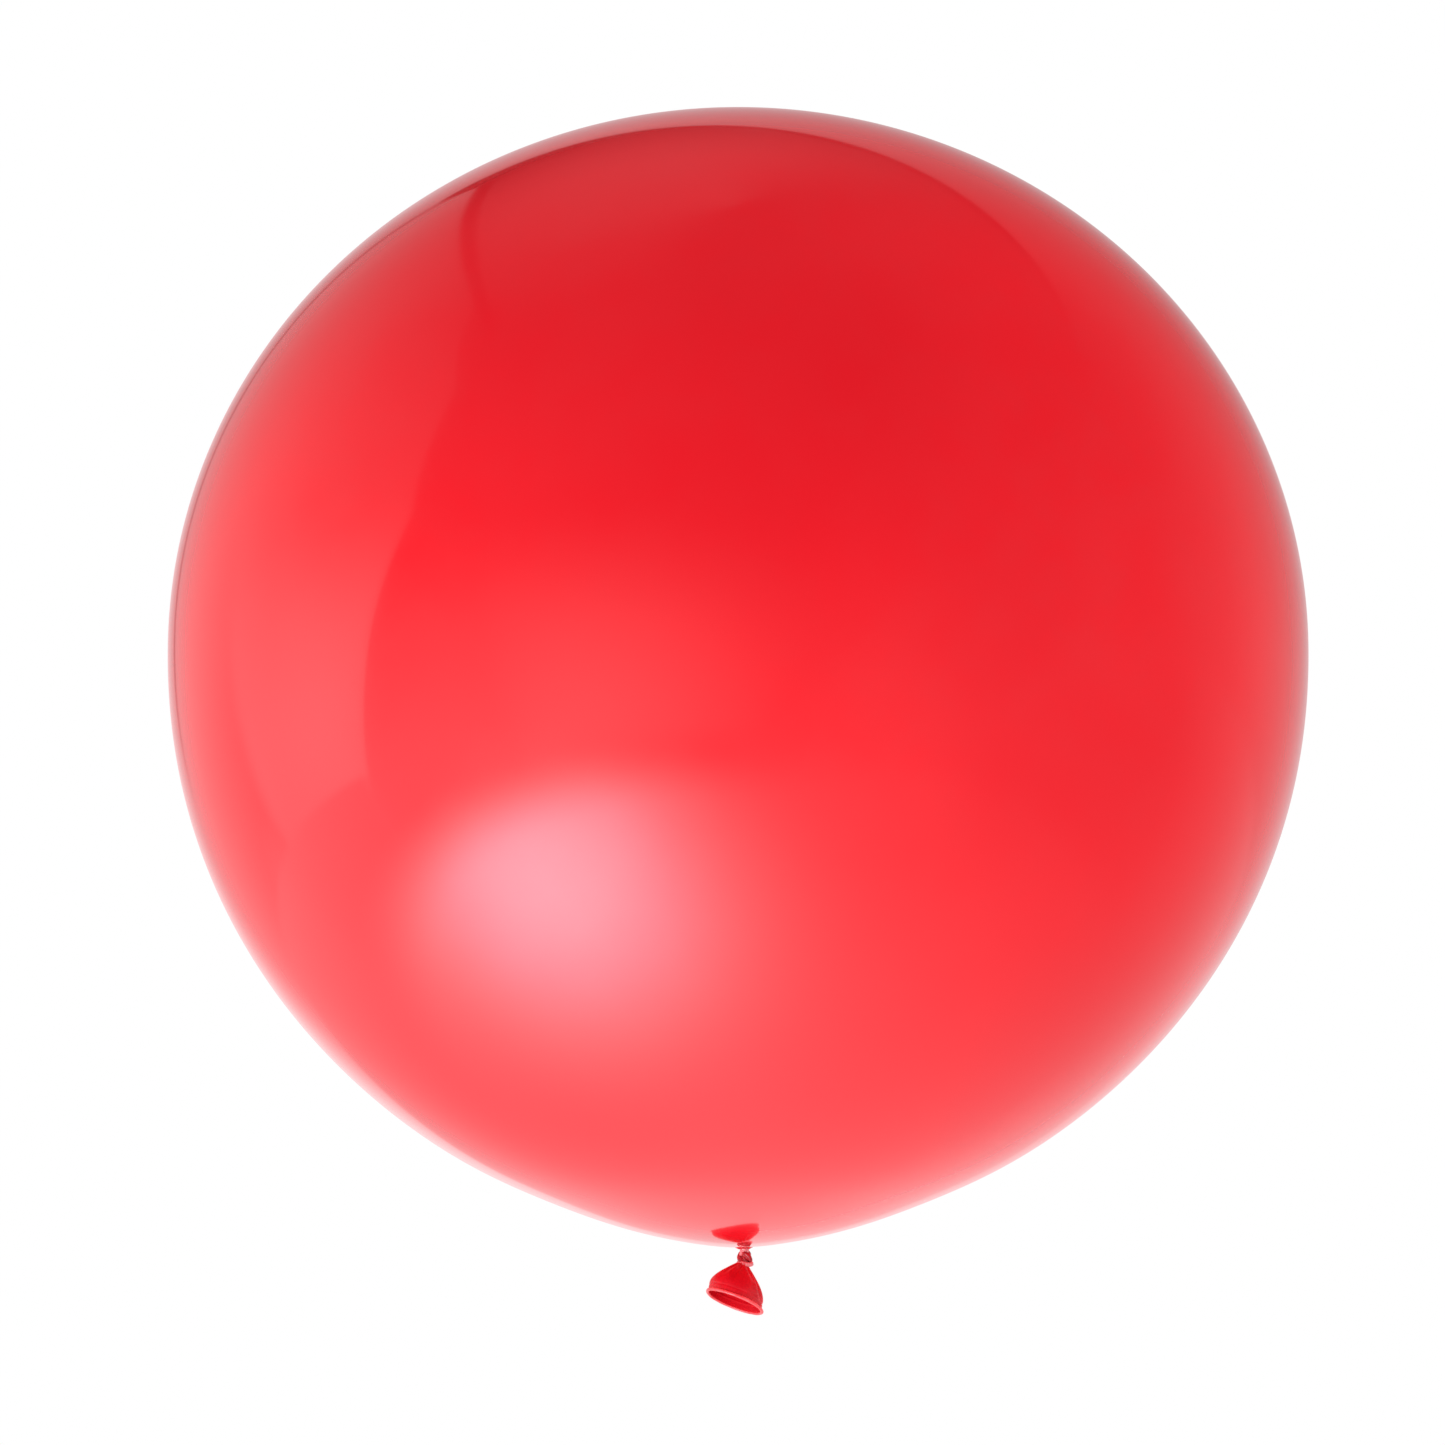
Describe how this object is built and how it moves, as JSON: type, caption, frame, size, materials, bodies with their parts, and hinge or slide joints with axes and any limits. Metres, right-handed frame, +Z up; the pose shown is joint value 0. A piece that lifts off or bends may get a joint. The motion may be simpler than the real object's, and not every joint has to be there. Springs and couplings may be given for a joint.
{
  "type": "latex balloon",
  "caption": "Large round latex balloon, inflated and closed by an overhand knot in its own neck, with a flared open tail below the knot.",
  "frame": {"origin": "the tie groove: the middle of the pinched neck between the body and the knot, where a ribbon goes round", "axes": "+Z up the neck to the crown; the tail hangs towards -Z and leans to -X; the front faces -Y"},
  "size_m": [0.9, 0.9, 0.9553],
  "materials": {
    "stretched_film": "high gloss, slightly translucent",
    "gathered_latex": "satin",
    "pinched_neck": "gloss",
    "knot": "gloss",
    "knot_strand": "gloss",
    "tail_latex": "satin",
    "rolled_lip": "satin"
  },
  "bodies": {
    "body": {"envelope": "stretched_film", "neck_gather": "gathered_latex"},
    "neck": {"neck_stem": "pinched_neck"},
    "knot": {"knot_core": "knot", "knot_wrap": "knot_strand"},
    "tail": {"tail_skirt": "tail_latex", "lip_bead": "rolled_lip"}
  },
  "joints": [
    {"name": "neck_twist", "type": "hinge", "parent": "body", "child": "neck", "pos_m": [0, 0, 0], "axis": [0, 0, 1], "range_deg": [-90, 90], "stiffness_Nm_per_rad": 0.0005},
    {"name": "knot_tilt", "type": "hinge", "parent": "neck", "child": "knot", "pos_m": [0, 0, 0], "axis": [1, 0, 0], "range_deg": [-20, 20], "stiffness_Nm_per_rad": 0.001},
    {"name": "tail_swing", "type": "hinge", "parent": "knot", "child": "tail", "pos_m": [0, 0, -0.0074], "axis": [0, 1, 0], "range_deg": [-45, 30], "stiffness_Nm_per_rad": 0.001}
  ]
}
